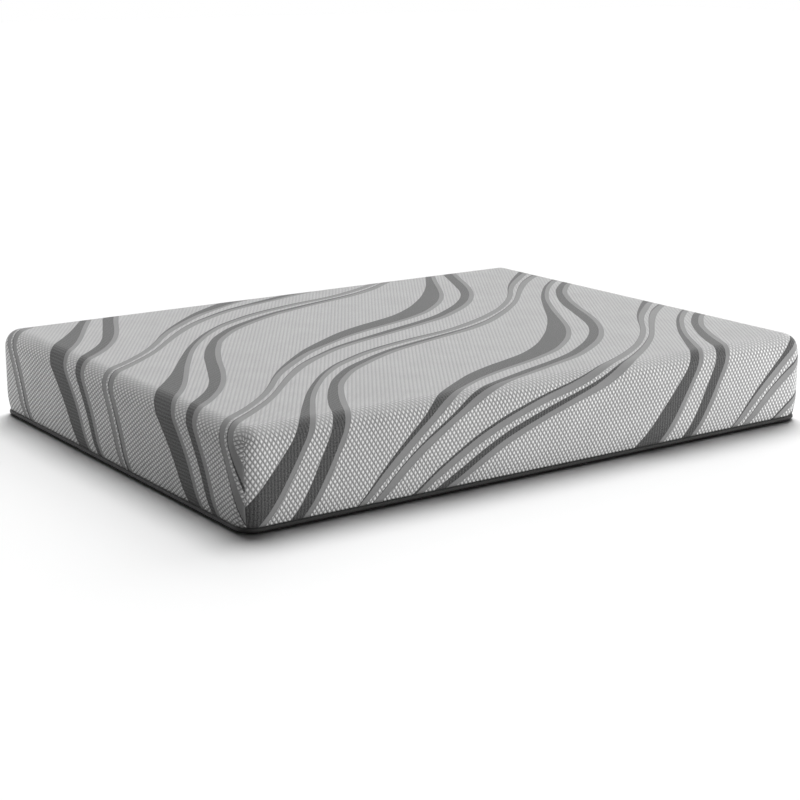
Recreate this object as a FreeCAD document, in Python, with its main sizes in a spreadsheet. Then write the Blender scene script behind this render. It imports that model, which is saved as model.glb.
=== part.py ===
"""A queen memory foam mattress: layered foam in a zipped knit cover with a piped bottom edge.

Millimetres, +Z up. X runs along the length and Y across the width, and the origin is on the floor
under the middle. "Inset" is the distance in from the cover's side. The zipper lies under the piping,
along the +X end, round that corner and along the +Y side, set into the base panel's slanted edge.
"""
import FreeCAD
import Part
import Sketcher

import math
import os

Vector = FreeCAD.Vector

DRIVING = [
    ("length", 2032, "queen length"),
    ("width", 1524, "queen width"),
    ("height", 276, "overall height"),
    ("corner_radius", 60, "vertical corners of the cover"),
    ("top_edge_radius", 54, "edge between the top and the sides"),
    ("cover_thickness", 4, "knit with its thin fibre backing"),
    ("cover_hem", 18.5, "lowest edge of the knit cover, above the floor"),
    ("fit_gap", 0.3, "clearance between soft layers"),
    ("piping_inset", 8.5, "piping centre line, in from the side"),
    ("piping_height", 11.5, "piping centre line, above the floor"),
    ("piping_radius", 6.5, "outside of the wrapped piping"),
    ("piping_tape", 0.9, "tape wrapped round the cord"),
    ("flange_width", 7.5, "sewn flange of the piping tape"),
    ("flange_rise", 3.6, "middle of the flange, above the piping centre"),
    ("base_inset", 15.3, "rim of the base panel, in from the side"),
    ("base_rim", 14.3, "rim of the base panel, above the floor"),
    ("base_slope_run", 35, "slanted edge of the base panel, across"),
    ("base_slope_rise", 12, "slanted edge of the base panel, up"),
    ("base_thickness", 1.5, "base panel fabric"),
    ("sock_thickness", 1.5, "fire barrier knit"),
    ("sock_corner_radius", 78, "vertical corners of the fire barrier"),
    ("foam_slope_run", 50, "foam pulled in at its bottom edge, across"),
    ("foam_slope_rise", 24.2, "foam pulled in at its bottom edge, up"),
    ("comfort_thickness", 63, "gel memory foam"),
    ("transition_thickness", 51, "transition foam"),
    ("seam_allowance", 8.4, "sewn edge of a corner seam, into the mattress"),
    ("seam_thickness", 2.4, "two layers of knit in a corner seam"),
    ("seam_bottom", 32, "lower end of a corner seam"),
    ("seam_top", 214, "upper end of a corner seam"),
    ("zipper_setback", 12, "zipper middle, down the slope from the rim"),
    ("zipper_end_margin", 100, "zipper ends, in from the ends of their sides"),
    ("zipper_slot", 10.8, "half the slot in the base panel"),
    ("tape_edge", 10.5, "outside edge of a zipper tape, from the middle"),
    ("tape_thickness", 0.7, "woven zipper tape"),
    ("coil_gap", 0.6, "half the gap between the coils"),
    ("coil_width", 2.4, "one coil, across"),
    ("coil_thickness", 2, "one coil, through"),
    ("slider_length", 12, "slider plates, along the zipper"),
    ("slider_front", 9.5, "slider at its shoulders, across"),
    ("slider_rear", 8.4, "slider at its tail, across"),
    ("slider_shoulder", 4, "length of the slider's full width"),
    ("plate_thickness", 1.2, "slider plate"),
    ("plate_gap", 1.3, "plate face, from the coil's middle"),
    ("lip_width", 0.9, "turned edge of a slider plate, across"),
    ("lip_gap", 0.65, "turned edge, from the coil's middle"),
    ("post_width", 0.8, "post between the coils, across"),
    ("post_length", 3, "post between the coils, along the zipper"),
    ("bail_length", 7.4, "bail, along the zipper"),
    ("bail_width", 1.4, "bail, across"),
    ("bail_wire", 0.9, "thickness of the bail"),
    ("bail_room", 1.8, "room under the bail"),
    ("hinge_rise", 0.85, "pull's hinge axis, above the slider plate"),
    ("pull_thickness", 1, "pull, through"),
    ("pull_length", 26, "hinge axis to the far end of the pull"),
    ("pull_width", 8, "pull, across"),
    ("pull_tip_radius", 3, "rounded far corners of the pull"),
    ("window_length", 5, "window in the pull, along it"),
    ("window_width", 4.6, "window in the pull, across"),
    ("stop_length", 3, "zipper stop, along the zipper"),
    ("stop_width", 5.4, "zipper stop, across"),
    ("stop_thickness", 2.8, "zipper stop, through"),
    ("slider_clearance", 2, "slider to the top stop"),
]

doc = FreeCAD.newDocument("mattress")
sheet = doc.addObject("Spreadsheet::Sheet", "Sizes")
for row, (alias, size, note) in enumerate(DRIVING, start=1):
    sheet.set(f"A{row}", note)
    sheet.set(f"B{row}", str(size))
    sheet.setAlias(f"B{row}", alias)
doc.recompute()

# Formulas shared by several sub-parts
SOCK_INSET = "(Sizes.cover_thickness + Sizes.fit_gap)"
SOCK_BOTTOM = "(Sizes.base_thickness + Sizes.fit_gap)"
FOAM_INSET = f"({SOCK_INSET} + Sizes.sock_thickness + Sizes.fit_gap)"
FOAM_CORNER = "(Sizes.sock_corner_radius - Sizes.sock_thickness - Sizes.fit_gap)"
FOAM_BOTTOM = f"({SOCK_BOTTOM} + Sizes.sock_thickness + Sizes.fit_gap)"
FOAM_TOP = f"(Sizes.height - {FOAM_INSET})"
COMFORT_BOTTOM = f"({FOAM_TOP} - Sizes.comfort_thickness)"
TRANSITION_BOTTOM = f"({COMFORT_BOTTOM} - Sizes.transition_thickness)"

PIPING_X = "(Sizes.length / 2 - Sizes.piping_inset)"
SLOPE = "atan(Sizes.base_slope_rise / Sizes.base_slope_run)"
COIL_INSET = (f"(Sizes.base_inset + Sizes.zipper_setback * cos({SLOPE})"
              f" + Sizes.base_thickness / 2 * sin({SLOPE}))")
COIL_HEIGHT = (f"(Sizes.base_slope_rise - Sizes.zipper_setback * sin({SLOPE})"
               f" + Sizes.base_thickness / 2 * cos({SLOPE}))")
COIL_START = "(Sizes.zipper_end_margin + Sizes.stop_length + Sizes.fit_gap)"

BOTTOM_SIDE_UP = 180  # degrees; turns a profile so that its +Y looks out of the slanted edge
SAME_PLACE = 0.01  # mm
MOSTLY_UPRIGHT = 0.9  # the least upright share of an edge that runs up and down

sub_parts = {}


def number(formula):
    """The value of a formula over the sheet."""
    result = sheet.evalExpression(formula)
    return float(getattr(result, "Value", result))


def keep(name, item):
    """Make an object a sub-part, under its own label."""
    item.Label = name
    sub_parts[name] = item
    return item


def new_sketch(body, name, role, offset="0"):
    """A sketch on one of the body's origin planes, or parallel to it."""
    plane = next(item for item in body.Origin.OriginFeatures if item.Role == role)
    sketch = body.newObject("Sketcher::SketchObject", name)
    sketch.AttachmentSupport = [(plane, "")]
    sketch.MapMode = "FlatFace"
    sketch.setExpression("AttachmentOffset.Base.z", offset)
    return sketch


def add_line(sketch, start, end):
    return sketch.addGeometry(Part.LineSegment(Vector(*start), Vector(*end)))


def add_arc(sketch, centre, radius, start_deg, end_deg):
    circle = Part.Circle(Vector(*centre), Vector(0, 0, 1), radius)
    arc = Part.ArcOfCircle(circle, math.radians(start_deg), math.radians(end_deg))
    return sketch.addGeometry(arc)


def dimension(sketch, kind, *places_and_formula):
    """A dimension whose value is bound to the sheet."""
    *places, formula = places_and_formula
    index = sketch.addConstraint(Sketcher.Constraint(kind, *places, number(formula)))
    sketch.setExpression(f"Constraints[{index}]", formula)


def place_point(sketch, item, end, across, up):
    """Hold one end of a line, or a circle's centre, at a place on the sketch."""
    dimension(sketch, "DistanceX", -1, 1, item, end, across)
    dimension(sketch, "DistanceY", -1, 1, item, end, up)


def rounded_rectangle(sketch, inset, corner):
    """The mattress's outline set in by a distance, as lines and tangent corner arcs."""
    half_x = number(f"Sizes.length / 2 - {inset}")
    half_y = number(f"Sizes.width / 2 - {inset}")
    radius = number(corner)
    flat_x = half_x - radius
    flat_y = half_y - radius
    bottom = add_line(sketch, (-flat_x, -half_y), (flat_x, -half_y))
    arc = add_arc(sketch, (flat_x, -flat_y), radius, -90, 0)
    right = add_line(sketch, (half_x, -flat_y), (half_x, flat_y))
    add_arc(sketch, (flat_x, flat_y), radius, 0, 90)
    top = add_line(sketch, (flat_x, half_y), (-flat_x, half_y))
    add_arc(sketch, (-flat_x, flat_y), radius, 90, 180)
    left = add_line(sketch, (-half_x, flat_y), (-half_x, -flat_y))
    add_arc(sketch, (-flat_x, -flat_y), radius, 180, 270)
    for step in range(8):
        following = (step + 1) % 8
        sketch.addConstraint(Sketcher.Constraint("Tangent", bottom + step, 2, bottom + following, 1))
    for item in (bottom, top):
        sketch.addConstraint(Sketcher.Constraint("Horizontal", item))
    for item in (right, left):
        sketch.addConstraint(Sketcher.Constraint("Vertical", item))
    for step in (2, 4, 6):
        sketch.addConstraint(Sketcher.Constraint("Equal", arc, arc + step))
    dimension(sketch, "Radius", arc, corner)
    dimension(sketch, "DistanceX", -1, 1, right, 1, f"Sizes.length / 2 - {inset}")
    dimension(sketch, "DistanceX", left, 1, -1, 1, f"Sizes.length / 2 - {inset}")
    dimension(sketch, "DistanceY", -1, 1, top, 1, f"Sizes.width / 2 - {inset}")
    dimension(sketch, "DistanceY", bottom, 1, -1, 1, f"Sizes.width / 2 - {inset}")


def polygon(sketch, points):
    """A closed outline whose corners are pairs of formulas."""
    numbers = [(number(across), number(up)) for across, up in points]
    first = None
    for index, start in enumerate(numbers):
        line = add_line(sketch, start, numbers[(index + 1) % len(numbers)])
        first = line if first is None else first
        place_point(sketch, line, 1, *points[index])
    for line in range(len(numbers)):
        following = (line + 1) % len(numbers)
        sketch.addConstraint(
            Sketcher.Constraint("Coincident", first + line, 2, first + following, 1))


def rectangle(sketch, across, up):
    """A rectangle between two formulas across and two up."""
    polygon(sketch, [(across[0], up[0]), (across[1], up[0]), (across[1], up[1]), (across[0], up[1])])


def pad(body, sketch, length, both_ways=False):
    feature = body.newObject("PartDesign::Pad", f"{sketch.Name}_pad")
    feature.Profile = sketch
    feature.setExpression("Length", length)
    feature.Midplane = both_ways
    doc.recompute()
    return feature


def end_face(feature, top):
    """The name of a feature's highest or lowest face."""
    heights = [face.CenterOfMass.z for face in feature.Shape.Faces]
    wanted = max(heights) if top else min(heights)
    return f"Face{heights.index(wanted) + 1}"


def soft_block(name, inset, corner, bottom, top, top_edge=None, slope=None):
    """A rounded slab, with a rounded top edge or a slanted bottom edge where it has one."""
    body = doc.addObject("PartDesign::Body", name)
    outline = new_sketch(body, f"{name}_outline", "XY_Plane", bottom)
    rounded_rectangle(outline, inset, corner)
    feature = pad(body, outline, f"{top} - {bottom}")
    if top_edge:
        rounded = body.newObject("PartDesign::Fillet", f"{name}_top_edge")
        rounded.Base = (feature, [end_face(feature, top=True)])
        rounded.setExpression("Radius", top_edge)
        doc.recompute()
        feature = rounded
    if slope:
        run, rise = slope
        slanted = body.newObject("PartDesign::Chamfer", f"{name}_bottom_edge")
        slanted.Base = (feature, [end_face(feature, top=False)])
        slanted.ChamferType = "Two distances"
        slanted.setExpression("Size", rise)
        slanted.setExpression("Size2", run)
        doc.recompute()
    return body


def hollow(body, thickness, open_top):
    """Leave a skin of a soft block, open at its top or its bottom."""
    feature = body.Tip
    skin = body.newObject("PartDesign::Thickness", f"{body.Name}_skin")
    skin.Base = (feature, [end_face(feature, top=open_top)])
    skin.setExpression("Value", thickness)
    skin.Reversed = True
    doc.recompute()


def sweep(body, profile, path, remove=False):
    """Carry a profile along a flat path, square to it all the way."""
    kind = "PartDesign::SubtractivePipe" if remove else "PartDesign::AdditivePipe"
    pipe = body.newObject(kind, f"{profile.Name}_sweep")
    pipe.Profile = profile
    pipe.Spine = (path, [f"Edge{index + 1}" for index in range(path.GeometryCount)])
    pipe.Mode = "Frenet"
    doc.recompute()


# Soft shell and layers

def make_cover():
    cover = soft_block("knit_cover", "0", "Sizes.corner_radius", "Sizes.cover_hem", "Sizes.height",
                       top_edge="Sizes.top_edge_radius")
    hollow(cover, "Sizes.cover_thickness", open_top=False)
    keep("knit_cover", cover)


def make_corner_seams():
    """The sewn edges turned inwards at the four corners, each on its corner's diagonal."""
    reach = ("(Sizes.corner_radius - Sizes.cover_thickness - Sizes.fit_gap"
             " - Sizes.seam_allowance) * sqrt(0.5)")
    shift = "Sizes.seam_thickness / 2 * sqrt(0.5)"
    for name, x_sign, y_sign in (("corner_seam_foot_right", -1, -1), ("corner_seam_head_right", 1, -1),
                                 ("corner_seam_head_left", 1, 1), ("corner_seam_foot_left", -1, 1)):
        seam = keep(name, doc.addObject("Part::Box", name))
        seam.setExpression("Length", "Sizes.seam_allowance")
        seam.setExpression("Width", "Sizes.seam_thickness")
        seam.setExpression("Height", "Sizes.seam_top - Sizes.seam_bottom")
        turn = math.degrees(math.atan2(y_sign, x_sign))
        seam.Placement.Rotation = FreeCAD.Rotation(Vector(0, 0, 1), turn)
        seam.setExpression("Placement.Base.x", f"{x_sign} * (Sizes.length / 2 - Sizes.corner_radius"
                                               f" + {reach}) + {y_sign} * {shift}")
        seam.setExpression("Placement.Base.y", f"{y_sign} * (Sizes.width / 2 - Sizes.corner_radius"
                                               f" + {reach}) - {x_sign} * {shift}")
        seam.setExpression("Placement.Base.z", "Sizes.seam_bottom")


def make_base_panel():
    """A shallow dish of fabric with a slanted edge, and a slot in that edge for the zipper."""
    panel = soft_block("base_panel", "Sizes.base_inset", "(Sizes.corner_radius - Sizes.base_inset)",
                       "0", "Sizes.base_rim", slope=("Sizes.base_slope_run", "Sizes.base_slope_rise"))
    hollow(panel, "Sizes.base_thickness", open_top=True)
    margin = "(Sizes.zipper_end_margin - Sizes.fit_gap)"
    slot = zipper_profile(panel, "slot", ("-Sizes.zipper_slot", "Sizes.zipper_slot"),
                          "2 * Sizes.base_thickness", margin)
    path = zipper_path(panel, "slot_path", margin)
    sweep(panel, slot, path, remove=True)
    keep("base_panel", panel)


def make_fire_sock():
    outer = soft_block("sock_outside", SOCK_INSET, "Sizes.sock_corner_radius", SOCK_BOTTOM,
                       f"(Sizes.height - {SOCK_INSET})", top_edge=f"(Sizes.top_edge_radius - {SOCK_INSET})",
                       slope=("Sizes.foam_slope_run", "Sizes.foam_slope_rise"))
    inner = soft_block("sock_inside", f"({SOCK_INSET} + Sizes.sock_thickness)",
                       "(Sizes.sock_corner_radius - Sizes.sock_thickness)",
                       f"({SOCK_BOTTOM} + Sizes.sock_thickness)",
                       f"(Sizes.height - {SOCK_INSET} - Sizes.sock_thickness)",
                       top_edge=f"(Sizes.top_edge_radius - {SOCK_INSET} - Sizes.sock_thickness)",
                       slope=("Sizes.foam_slope_run", "Sizes.foam_slope_rise"))
    sock = doc.addObject("Part::Cut", "fire_sock")
    sock.Base = outer
    sock.Tool = inner
    doc.recompute()
    keep("fire_sock", sock)


def make_foam():
    keep("comfort_foam", soft_block("comfort_foam", FOAM_INSET, FOAM_CORNER, COMFORT_BOTTOM, FOAM_TOP,
                                    top_edge=f"(Sizes.top_edge_radius - {FOAM_INSET})"))
    keep("transition_foam", soft_block("transition_foam", FOAM_INSET, FOAM_CORNER, TRANSITION_BOTTOM,
                                       COMFORT_BOTTOM))
    keep("support_core", soft_block("support_core", FOAM_INSET, FOAM_CORNER, FOAM_BOTTOM, TRANSITION_BOTTOM,
                                    slope=("Sizes.foam_slope_run", "Sizes.foam_slope_rise")))


# Piping

def piping_path(body):
    """The closed line that the piping follows."""
    path = new_sketch(body, f"{body.Name}_path", "XY_Plane", "Sizes.piping_height")
    rounded_rectangle(path, "Sizes.piping_inset", "(Sizes.corner_radius - Sizes.piping_inset)")
    return path


def piping_circle(body, name, radius):
    """A round section on the piping's line."""
    section = new_sketch(body, name, "XZ_Plane")
    centre = Vector(number(PIPING_X), number("Sizes.piping_height"))
    circle = section.addGeometry(Part.Circle(centre, Vector(0, 0, 1), number(radius)))
    dimension(section, "Radius", circle, radius)
    place_point(section, circle, 3, PIPING_X, "Sizes.piping_height")
    return section


def make_piping_cord():
    cord = doc.addObject("PartDesign::Body", "piping_cord")
    section = piping_circle(cord, "cord_section",
                            "(Sizes.piping_radius - Sizes.piping_tape - Sizes.fit_gap / 2)")
    sweep(cord, section, piping_path(cord))
    keep("piping_cord", cord)


def make_piping_tape():
    """A tube round the cord, and the flange that is sewn between the cover and the base panel."""
    tape = doc.addObject("PartDesign::Body", "piping_tape")
    flange = new_sketch(tape, "tape_flange", "XY_Plane",
                        "Sizes.piping_height + Sizes.flange_rise - Sizes.piping_tape / 2")
    edge = "(Sizes.piping_inset + Sizes.piping_radius + Sizes.flange_width)"
    rounded_rectangle(flange, "Sizes.piping_inset", "(Sizes.corner_radius - Sizes.piping_inset)")
    rounded_rectangle(flange, edge, f"(Sizes.corner_radius - {edge})")
    pad(tape, flange, "Sizes.piping_tape")
    path = piping_path(tape)
    sweep(tape, piping_circle(tape, "tape_outside", "Sizes.piping_radius"), path)
    bore = piping_circle(tape, "tape_bore", "(Sizes.piping_radius - Sizes.piping_tape)")
    sweep(tape, bore, path, remove=True)
    keep("piping_tape", tape)


# Zipper

def zipper_path(body, name, margin):
    """The line that the coils follow: along the +X end, round the corner and along the +Y side."""
    path = new_sketch(body, name, "XY_Plane", COIL_HEIGHT)
    side_x = number(f"Sizes.length / 2 - {COIL_INSET}")
    side_y = number(f"Sizes.width / 2 - {COIL_INSET}")
    radius = number(f"Sizes.corner_radius - {COIL_INSET}")
    begin = (side_x, -number(f"Sizes.width / 2 - {margin}"))
    finish = (-number(f"Sizes.length / 2 - {margin}"), side_y)
    end_run = add_line(path, begin, (side_x, side_y - radius))
    arc = add_arc(path, (side_x - radius, side_y - radius), radius, 0, 90)
    side_run = add_line(path, (side_x - radius, side_y), finish)
    path.addConstraint(Sketcher.Constraint("Vertical", end_run))
    path.addConstraint(Sketcher.Constraint("Horizontal", side_run))
    path.addConstraint(Sketcher.Constraint("Tangent", end_run, 2, arc, 1))
    path.addConstraint(Sketcher.Constraint("Tangent", arc, 2, side_run, 1))
    dimension(path, "Radius", arc, f"Sizes.corner_radius - {COIL_INSET}")
    dimension(path, "DistanceX", -1, 1, end_run, 1, f"Sizes.length / 2 - {COIL_INSET}")
    dimension(path, "DistanceY", end_run, 1, -1, 1, f"Sizes.width / 2 - {margin}")
    dimension(path, "DistanceX", side_run, 2, -1, 1, f"Sizes.length / 2 - {margin}")
    dimension(path, "DistanceY", -1, 1, side_run, 2, f"Sizes.width / 2 - {COIL_INSET}")
    return path


def zipper_profile(body, name, across, thickness, margin):
    """A rectangle across the slanted edge, where the zipper's path starts."""
    profile = new_sketch(body, name, "XZ_Plane", f"Sizes.width / 2 - {margin}")
    profile.AttachmentOffset.Rotation = FreeCAD.Rotation(Vector(0, 0, 1), BOTTOM_SIDE_UP)
    profile.setExpression("AttachmentOffset.Rotation.Angle", f"{BOTTOM_SIDE_UP} + {SLOPE} / 1 deg")
    profile.setExpression("AttachmentOffset.Base.x", f"Sizes.length / 2 - {COIL_INSET}")
    profile.setExpression("AttachmentOffset.Base.y", COIL_HEIGHT)
    rectangle(profile, across, (f"-{thickness} / 2", f"{thickness} / 2"))
    return profile


def make_zipper_strip(name, across, thickness, margin):
    strip = doc.addObject("PartDesign::Body", name)
    profile = zipper_profile(strip, f"{name}_section", across, thickness, margin)
    sweep(strip, profile, zipper_path(strip, f"{name}_path", margin))
    keep(name, strip)


def make_zipper_strips():
    """Two tapes with a coil on each. The outer pair joins the piping, and the inner pair the panel."""
    coil_edge = "(Sizes.coil_gap + Sizes.coil_width)"
    for side, sign in (("outer", "-"), ("inner", "")):
        tape_across = (f"{sign}{coil_edge}", f"{sign}Sizes.tape_edge")
        make_zipper_strip(f"zipper_tape_{side}", tape_across, "Sizes.tape_thickness",
                          "Sizes.zipper_end_margin")
        coil_across = (f"{sign}Sizes.coil_gap", f"{sign}{coil_edge}")
        make_zipper_strip(f"zipper_coil_{side}", coil_across, "Sizes.coil_thickness", COIL_START)


def put_on_side_run(item, along):
    """Place a sub-part on the coils' middle line, its X along the +Y side and its Z facing out."""
    item.Placement.Rotation = FreeCAD.Rotation(Vector(1, 0, 0), BOTTOM_SIDE_UP)
    item.setExpression("Placement.Rotation.Angle", f"{BOTTOM_SIDE_UP} + {SLOPE} / 1 deg")
    item.setExpression("Placement.Base.x", along)
    item.setExpression("Placement.Base.y", f"Sizes.width / 2 - {COIL_INSET}")
    item.setExpression("Placement.Base.z", COIL_HEIGHT)


SLIDER_PLACE = (f"{COIL_START} + Sizes.slider_clearance + Sizes.slider_length / 2 - Sizes.length / 2")


def mirrored(points):
    """An outline's points and their mirror images, in one turn round it."""
    return points + [(across, f"-({up})") for across, up in reversed(points)]


def make_slider():
    """Two plates with turned edges, joined by a post, and a bail over the outer plate."""
    slider = doc.addObject("PartDesign::Body", "zipper_slider")
    half = "Sizes.slider_length / 2"
    lip_depth = "(Sizes.plate_gap - Sizes.lip_gap)"
    post = new_sketch(slider, "slider_post", "XY_Plane")
    rectangle(post, (f"{half} - Sizes.post_length", half), ("-Sizes.post_width / 2", "Sizes.post_width / 2"))
    pad(slider, post, "2 * Sizes.plate_gap", both_ways=True)
    for side, sign in (("outer", 1), ("inner", -1)):
        plate = new_sketch(slider, f"slider_{side}_plate", "XY_Plane", f"{sign} * Sizes.plate_gap")
        polygon(plate, mirrored([(f"-{half}", "Sizes.slider_rear / 2"),
                                 (f"{half} - Sizes.slider_shoulder", "Sizes.slider_front / 2"),
                                 (half, "Sizes.slider_front / 2")]))
        pad(slider, plate, "Sizes.plate_thickness").Reversed = sign < 0
        for hand, edge in (("left", "1"), ("right", "-1")):
            lip = new_sketch(slider, f"slider_{side}_{hand}_lip", "XY_Plane", f"{sign} * Sizes.plate_gap")
            polygon(lip, [(f"-{half}", f"{edge} * Sizes.slider_rear / 2"),
                          (f"{half} - Sizes.slider_shoulder", f"{edge} * Sizes.slider_front / 2"),
                          (f"{half} - Sizes.slider_shoulder",
                           f"{edge} * (Sizes.slider_front / 2 - Sizes.lip_width)"),
                          (f"-{half}", f"{edge} * (Sizes.slider_rear / 2 - Sizes.lip_width)")])
            pad(slider, lip, lip_depth).Reversed = sign > 0
    bail = new_sketch(slider, "slider_bail", "XZ_Plane")
    foot = "(Sizes.plate_gap + Sizes.plate_thickness)"
    roof = f"({foot} + Sizes.bail_room)"
    top = f"({roof} + Sizes.bail_wire)"
    leg = "(Sizes.bail_length / 2)"
    polygon(bail, [(f"-{leg}", foot), (f"-{leg}", top), (leg, top), (leg, foot),
                   (f"{leg} - Sizes.bail_wire", foot), (f"{leg} - Sizes.bail_wire", roof),
                   (f"Sizes.bail_wire - {leg}", roof), (f"Sizes.bail_wire - {leg}", foot)])
    pad(slider, bail, "Sizes.bail_width", both_ways=True)
    put_on_side_run(slider, SLIDER_PLACE)
    keep("zipper_slider", slider)


def make_pull():
    """A flat tab with a window, whose end bar lies under the slider's bail."""
    pull = doc.addObject("PartDesign::Body", "zipper_pull")
    axis_height = "(Sizes.plate_gap + Sizes.plate_thickness + Sizes.hinge_rise)"
    tab = new_sketch(pull, "pull_tab", "XY_Plane", axis_height)
    bar = "Sizes.pull_thickness / 2"
    rectangle(tab, (f"-{bar}", "Sizes.pull_length"), ("-Sizes.pull_width / 2", "Sizes.pull_width / 2"))
    rectangle(tab, (bar, f"{bar} + Sizes.window_length"),
              ("-Sizes.window_width / 2", "Sizes.window_width / 2"))
    solid = pad(pull, tab, "Sizes.pull_thickness", both_ways=True)
    far = max(vertex.Point.x for vertex in solid.Shape.Vertexes)
    corners = [f"Edge{index + 1}" for index, edge in enumerate(solid.Shape.Edges)
               if all(abs(vertex.Point.x - far) < SAME_PLACE for vertex in edge.Vertexes)
               and abs(edge.tangentAt(edge.FirstParameter).z) > MOSTLY_UPRIGHT]
    tip = pull.newObject("PartDesign::Fillet", "pull_tip")
    tip.Base = (solid, corners)
    tip.setExpression("Radius", "Sizes.pull_tip_radius")
    doc.recompute()
    put_on_side_run(pull, SLIDER_PLACE)
    keep("zipper_pull", pull)


def make_stops():
    """A clip across the gap at each end of the coils."""
    top_stop = keep("zipper_top_stop", doc.addObject("Part::Box", "zipper_top_stop"))
    bottom_stop = keep("zipper_bottom_stop", doc.addObject("Part::Box", "zipper_bottom_stop"))
    for stop in (top_stop, bottom_stop):
        stop.setExpression("Length", "Sizes.stop_length")
        stop.setExpression("Width", "Sizes.stop_width")
        stop.setExpression("Height", "Sizes.stop_thickness")
    top_turn = FreeCAD.Rotation(Vector(1, 0, 0), BOTTOM_SIDE_UP + number(f"{SLOPE} / 1 deg"))
    to_middle = Vector(0, -number("Sizes.stop_width / 2"), -number("Sizes.stop_thickness / 2"))
    top_end = Vector(number("Sizes.zipper_end_margin - Sizes.length / 2"),
                     number(f"Sizes.width / 2 - {COIL_INSET}"), number(COIL_HEIGHT))
    top_stop.Placement = FreeCAD.Placement(top_end + top_turn.multVec(to_middle), top_turn)
    quarter_turn = FreeCAD.Rotation(Vector(0, 0, 1), -90)
    bottom_turn = quarter_turn.multiply(top_turn)
    bottom_end = Vector(number(f"Sizes.length / 2 - {COIL_INSET}"),
                        number("Sizes.zipper_end_margin + Sizes.stop_length - Sizes.width / 2"),
                        number(COIL_HEIGHT))
    bottom_stop.Placement = FreeCAD.Placement(bottom_end + bottom_turn.multVec(to_middle), bottom_turn)


make_cover()
make_corner_seams()
make_base_panel()
make_fire_sock()
make_foam()
make_piping_cord()
make_piping_tape()
make_zipper_strips()
make_slider()
make_pull()
make_stops()
doc.recompute()

for item in doc.Objects:
    if "Invalid" in item.State or "Error" in item.State:
        raise RuntimeError(f"{item.Name} failed: {item.State}")
for name, item in sub_parts.items():
    shape = item.Shape
    if shape.isNull() or not shape.isValid() or len(shape.Solids) != 1:
        raise RuntimeError(f"{name} is not one valid solid")

os.makedirs("parts", exist_ok=True)
for name, item in sub_parts.items():
    item.Shape.exportStep(os.path.join("parts", f"{name}.step"))
print(f"{len(sub_parts)} sub-parts; slider at x = {number(SLIDER_PLACE):.2f},",
      f"inset {number(COIL_INSET):.2f}, height {number(COIL_HEIGHT):.2f}")
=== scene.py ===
"""Looks of the memory foam mattress: knit cover, piping, base panel, zipper and the layers inside.

Everything is in metres in the CAD model's frame: X runs along the length with the foot at -X,
Y runs across the width, and Z is up from the floor.
"""

import math

import bpy
import numpy as np
from mathutils import Matrix, Vector


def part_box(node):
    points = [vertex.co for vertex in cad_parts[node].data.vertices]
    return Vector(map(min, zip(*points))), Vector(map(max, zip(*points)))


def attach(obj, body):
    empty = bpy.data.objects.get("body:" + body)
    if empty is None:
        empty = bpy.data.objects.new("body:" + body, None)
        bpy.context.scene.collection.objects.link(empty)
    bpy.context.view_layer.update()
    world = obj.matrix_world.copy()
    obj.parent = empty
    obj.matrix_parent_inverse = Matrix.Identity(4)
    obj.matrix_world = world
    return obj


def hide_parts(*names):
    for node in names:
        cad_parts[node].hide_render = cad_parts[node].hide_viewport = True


MM = 0.001
RIGHT_ANGLE = math.pi / 2
EIGHTH_TURN = math.pi / 4

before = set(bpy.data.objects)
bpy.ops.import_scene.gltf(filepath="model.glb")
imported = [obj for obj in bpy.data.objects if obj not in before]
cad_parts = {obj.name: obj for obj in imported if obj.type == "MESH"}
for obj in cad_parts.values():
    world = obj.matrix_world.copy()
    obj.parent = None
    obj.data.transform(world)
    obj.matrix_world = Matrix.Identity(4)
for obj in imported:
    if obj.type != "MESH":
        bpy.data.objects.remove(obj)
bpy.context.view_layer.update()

cover_low, cover_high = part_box("knit_cover")
HALF_LENGTH = cover_high.x
HALF_WIDTH = cover_high.y
TOP = cover_high.z
HEM = cover_low.z

CORNER_RADIUS = 60 * MM
TOP_EDGE_RADIUS = 54 * MM
EDGE_SQUARENESS = 2.15  # exponent of the top edge's curve: 2 is a circle, more is squarer
KNIT_THICKNESS = 3.6 * MM
TUCK_START = 80 * MM  # height below which the border draws in to the piping
TUCK_DEPTH = 7.4 * MM
COVER_STEP = 16 * MM  # spacing of the cover's points along its sides
PROFILE_STEP = 8 * MM
BORDER_FULL = TOP - 34 * MM  # the knit's relief is at its fullest from here down
TOP_FLAT = TOP - 6 * MM  # and at its flattest from here up

FIT_GAP = 0.3 * MM  # left between one layer and the next
SOCK_INSET = 4.3 * MM
SOCK_CORNER = 78 * MM
SOCK_THICKNESS = 1.5 * MM
FOAM_SLOPE_RUN = 50 * MM  # the foam is pulled in at its bottom edge
FOAM_SLOPE_RISE = 24.2 * MM

PATTERN_LENGTH = 1.375  # one repeat of the jacquard along the cloth
PATTERN_WIDTH = 0.673


# ---------------- meshes

def smoothstep(x):
    x = np.clip(x, 0, 1)
    return x * x * (3 - 2 * x)


def add_object(name, data):
    """An object in the scene, holding a mesh, lamp or camera."""
    made = bpy.data.objects.new(name, data)
    bpy.context.scene.collection.objects.link(made)
    return made


def new_mesh(name, points, faces, smooth=True):
    """A mesh object made from points and faces, riding on the mattress."""
    mesh = bpy.data.meshes.new(name)
    mesh.from_pydata([tuple(p) for p in np.asarray(points, float)], [], [tuple(f) for f in faces])
    mesh.update()
    piece = add_object(name, mesh)
    if smooth:
        mesh.shade_smooth()
    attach(piece, "mattress")
    return piece


def cloth_map(piece, coordinates):
    """Stores flat-cloth coordinates, one for each face corner, as the UV map named fabric."""
    layer = piece.data.uv_layers.new(name="fabric")
    layer.data.foreach_set("uv", np.asarray(coordinates, np.float32).ravel())


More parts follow.
